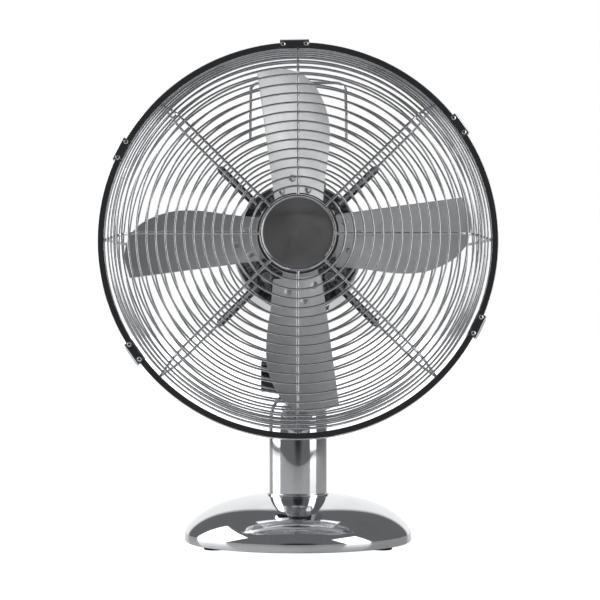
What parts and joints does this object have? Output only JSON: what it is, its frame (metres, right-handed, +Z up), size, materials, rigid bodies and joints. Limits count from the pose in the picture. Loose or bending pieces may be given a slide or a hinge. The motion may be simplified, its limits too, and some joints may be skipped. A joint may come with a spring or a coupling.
{
  "type": "desk fan",
  "caption": "Oscillating desk fan with a plated domed base and column, a wire cage with a trim band and rim clips, riveted blades and a blank badge; the head tilts and swings.",
  "frame": {"origin": "on the table under the middle of the round base, which is also under the column's axis", "axes": "+Z up; -Y the way the fan blows, to the front; +X to the right seen from the front"},
  "size_m": [0.35, 0.2375, 0.4501],
  "materials": {
    "chrome": "mirror plated",
    "wire_chrome": "plated wire",
    "blade": "satin rolled",
    "brushed": "circular brushed",
    "dark_steel": "black satin",
    "zinc_steel": "zinc plated",
    "cast_alloy": "die cast",
    "core": "laminated",
    "copper": "enamelled wire",
    "bronze": "sintered",
    "black_plastic": "moulded",
    "gear_plastic": "moulded",
    "capacitor": "moulded",
    "rubber": "moulded",
    "iron": "raw casting"
  },
  "bodies": {
    "base": {"base_cover": "chrome", "base_plate": "zinc_steel", "base_weight": "iron", "rubber_feet": "rubber", "base_screws": "zinc_steel", "column_tube": "chrome", "column_socket": "zinc_steel", "tilt_yoke": "chrome", "tilt_bolt": "zinc_steel", "cable_gland": "rubber", "rotary_switch": "black_plastic", "switch_bezel": "black_plastic"},
    "tilt_knob": {"tilt_knob": "black_plastic"},
    "speed_knob": {"speed_knob": "black_plastic"},
    "neck": {"neck_bracket": "dark_steel", "swivel_bush": "bronze"},
    "link": {"link_arm": "zinc_steel"},
    "rotor": {"fan_blade_1": "blade", "fan_blade_2": "blade", "fan_blade_3": "blade", "fan_blade_4": "blade", "blade_spider": "cast_alloy", "hub_set_screw": "zinc_steel", "blade_rivets": "blade", "rotor_shaft": "zinc_steel", "rotor_core": "core"},
    "worm_wheel": {"worm_wheel": "gear_plastic"},
    "crank_gear": {"crank_gear": "gear_plastic"},
    "oscillation_knob": {"oscillation_knob": "black_plastic"},
    "clip_1": {"rim_clip_1": "chrome"},
    "clip_2": {"rim_clip_2": "chrome"},
    "clip_3": {"rim_clip_3": "chrome"},
    "clip_4": {"rim_clip_4": "chrome"},
    "clip_5": {"rim_clip_5": "chrome"},
    "head": {"front_guard_rings": "wire_chrome", "front_guard_spokes": "wire_chrome", "front_guard_hub_plate": "zinc_steel", "badge_rim": "chrome", "badge_disc": "brushed", "rear_guard_rings": "wire_chrome", "rear_guard_spokes": "wire_chrome", "rear_mount_plate": "dark_steel", "guard_screws": "zinc_steel", "carry_handle": "wire_chrome", "trim_band": "chrome", "rim_lock": "chrome", "clip_hinges": "chrome", "motor_front_bell": "dark_steel", "motor_rear_bell": "cast_alloy", "stator_core": "core", "stator_windings": "copper", "motor_bearings": "bronze", "motor_bolts": "zinc_steel", "run_capacitor": "capacitor", "motor_cover": "chrome", "motor_screws": "zinc_steel", "swivel_bracket": "cast_alloy", "gearbox_housing": "cast_alloy", "gearbox_cover": "cast_alloy"}
  },
  "joints": [
    {"name": "head_tilt", "type": "hinge", "parent": "base", "child": "neck", "pos_m": [0, 0, 0.1506], "axis": [-1, 0, 0], "range_deg": [-15, 21]},
    {"name": "head_swing", "type": "hinge", "parent": "neck", "child": "head", "pos_m": [0, 0.00414, 0.18435], "axis": [0, 0.1219, 0.9925], "range_deg": [-40, 40]},
    {"name": "rotor_spin", "type": "hinge", "parent": "head", "child": "rotor", "pos_m": [0, -0.06055, 0.27289], "axis": [0, 0.9925, -0.1219], "continuous": true},
    {"name": "worm_wheel_spin", "type": "hinge", "parent": "head", "child": "worm_wheel", "pos_m": [0.0184, 0.0665, 0.25729], "axis": [0, 0.1219, 0.9925], "continuous": true},
    {"name": "crank_spin", "type": "hinge", "parent": "head", "child": "crank_gear", "pos_m": [0.00225, 0.05894, 0.19575], "axis": [0, 0.1219, 0.9925], "continuous": true},
    {"name": "link_swing", "type": "hinge", "parent": "neck", "child": "link", "pos_m": [0.014, 0.00561, 0.19626], "axis": [0, 0.1219, 0.9925], "range_deg": [-33, 45]},
    {"name": "oscillation_push", "type": "slide", "parent": "head", "child": "oscillation_knob", "axis": [0, -0.1219, -0.9925], "range_m": [0, 0.005]},
    {"name": "speed_turn", "type": "hinge", "parent": "base", "child": "speed_knob", "pos_m": [0, 0.031, 0.076], "axis": [0, -1, 0], "range_deg": [0, 90]},
    {"name": "tilt_lock", "type": "hinge", "parent": "base", "child": "tilt_knob", "pos_m": [-0.025, 0, 0.1506], "axis": [-1, 0, 0], "range_deg": [0, 270]},
    {"name": "clip_1_lift", "type": "hinge", "parent": "head", "child": "clip_1", "pos_m": [-0.00308, -0.0294, 0.44697], "axis": [-0.9998, -0.0021, -0.0173], "range_deg": [0, 100]},
    {"name": "clip_2_lift", "type": "hinge", "parent": "head", "child": "clip_2", "pos_m": [0.14377, -0.03842, 0.3735], "axis": [-0.5807, 0.0992, 0.808], "range_deg": [0, 100]},
    {"name": "clip_3_lift", "type": "hinge", "parent": "head", "child": "clip_3", "pos_m": [0.15873, -0.06035, 0.19487], "axis": [0.4384, 0.1095, 0.8921], "range_deg": [0, 100]},
    {"name": "clip_4_lift", "type": "hinge", "parent": "head", "child": "clip_4", "pos_m": [-0.14466, -0.06326, 0.17117], "axis": [0.5736, -0.0998, -0.813], "range_deg": [0, 100]},
    {"name": "clip_5_lift", "type": "hinge", "parent": "head", "child": "clip_5", "pos_m": [-0.15735, -0.04115, 0.35129], "axis": [-0.454, -0.1086, -0.8844], "range_deg": [0, 100]}
  ],
  "couplings": [
    {"joint": "worm_wheel_spin", "follows": "rotor_spin", "ratio": 0.027778},
    {"joint": "crank_spin", "follows": "rotor_spin", "ratio": -0.0069444}
  ]
}
